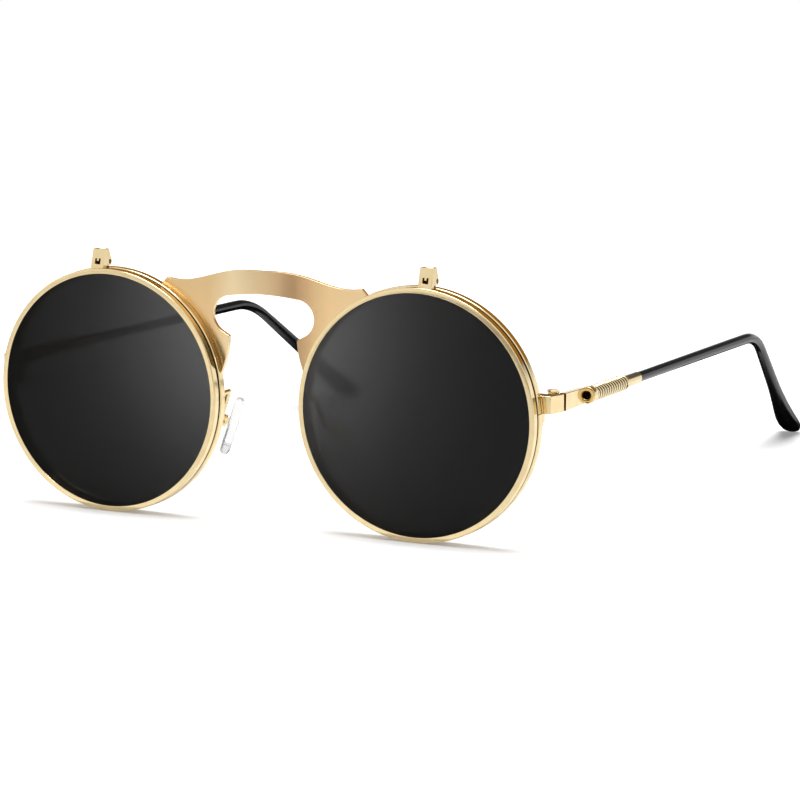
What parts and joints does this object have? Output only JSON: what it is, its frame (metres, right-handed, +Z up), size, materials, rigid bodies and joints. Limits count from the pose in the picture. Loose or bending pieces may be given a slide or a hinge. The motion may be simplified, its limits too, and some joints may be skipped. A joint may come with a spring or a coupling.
{
  "type": "flip-up sunglasses",
  "caption": "Round metal glasses whose tinted lenses flip up on top hinges over clear ones, with a keyhole bridge plate, nose pads and folding spring temples.",
  "frame": {"origin": "on the table, at the middle of the glasses' width and depth", "axes": "+X to the right as seen from the front, +Y back along the temples, +Z up; the lenses face -Y"},
  "size_m": [0.1336, 0.1722, 0.0543],
  "materials": {
    "gold_metal": "polished pale gold plating",
    "tinted_lens": "dark grey polished lens",
    "clear_lens": "clear polished lens",
    "black_sleeve": "glossy black sleeve",
    "clear_pad": "clear soft silicone"
  },
  "bodies": {
    "front": {"bridge_plate": "gold_metal", "rear_rim_left": "gold_metal", "rear_lens_left": "clear_lens", "end_piece_left": "gold_metal", "closing_block_left": "gold_metal", "rim_screw_left": "gold_metal", "hinge_screw_left": "gold_metal", "pad_arm_left": "gold_metal", "pad_screw_left": "gold_metal", "flip_base_left": "gold_metal", "rear_rim_right": "gold_metal", "rear_lens_right": "clear_lens", "end_piece_right": "gold_metal", "closing_block_right": "gold_metal", "rim_screw_right": "gold_metal", "hinge_screw_right": "gold_metal", "pad_arm_right": "gold_metal", "pad_screw_right": "gold_metal", "flip_base_right": "gold_metal"},
    "flip_left": {"flip_rim_left": "gold_metal", "flip_lens_left": "tinted_lens", "flip_leaf_left": "gold_metal", "flip_pin_left": "gold_metal"},
    "flip_right": {"flip_rim_right": "gold_metal", "flip_lens_right": "tinted_lens", "flip_leaf_right": "gold_metal", "flip_pin_right": "gold_metal"},
    "temple_left": {"temple_bar_left": "gold_metal", "spring_collar_left": "gold_metal", "temple_spring_left": "gold_metal", "temple_core_left": "gold_metal", "temple_ferrule_left": "gold_metal", "temple_tip_left": "black_sleeve"},
    "temple_right": {"temple_bar_right": "gold_metal", "spring_collar_right": "gold_metal", "temple_spring_right": "gold_metal", "temple_core_right": "gold_metal", "temple_ferrule_right": "gold_metal", "temple_tip_right": "black_sleeve"},
    "pad_left": {"nose_pad_left": "clear_pad", "pad_stud_left": "gold_metal"},
    "pad_right": {"nose_pad_right": "clear_pad", "pad_stud_right": "gold_metal"}
  },
  "joints": [
    {"name": "flip_hinge_left", "type": "hinge", "parent": "front", "child": "flip_left", "pos_m": [-0.03655, -0.08281, 0.05161], "axis": [-1, 0, 0], "range_deg": [0, 95]},
    {"name": "flip_hinge_right", "type": "hinge", "parent": "front", "child": "flip_right", "pos_m": [0.03655, -0.08281, 0.05161], "axis": [-1, 0, 0], "range_deg": [0, 95]},
    {"name": "temple_hinge_left", "type": "hinge", "parent": "front", "child": "temple_left", "pos_m": [-0.06039, -0.07745, 0.02906], "axis": [0, 0.0315, -0.9995], "range_deg": [0, 90]},
    {"name": "temple_hinge_right", "type": "hinge", "parent": "front", "child": "temple_right", "pos_m": [0.06039, -0.07745, 0.02906], "axis": [0, -0.0315, 0.9995], "range_deg": [0, 60]},
    {"name": "pad_rock_left", "type": "hinge", "parent": "front", "child": "pad_left", "pos_m": [-0.013, -0.07474, 0.01936], "axis": [-0.3971, 0.9013, 0.173], "range_deg": [-10, 10]},
    {"name": "pad_rock_right", "type": "hinge", "parent": "front", "child": "pad_right", "pos_m": [0.013, -0.07474, 0.01936], "axis": [0.3971, 0.9013, 0.173], "range_deg": [-10, 10]}
  ]
}
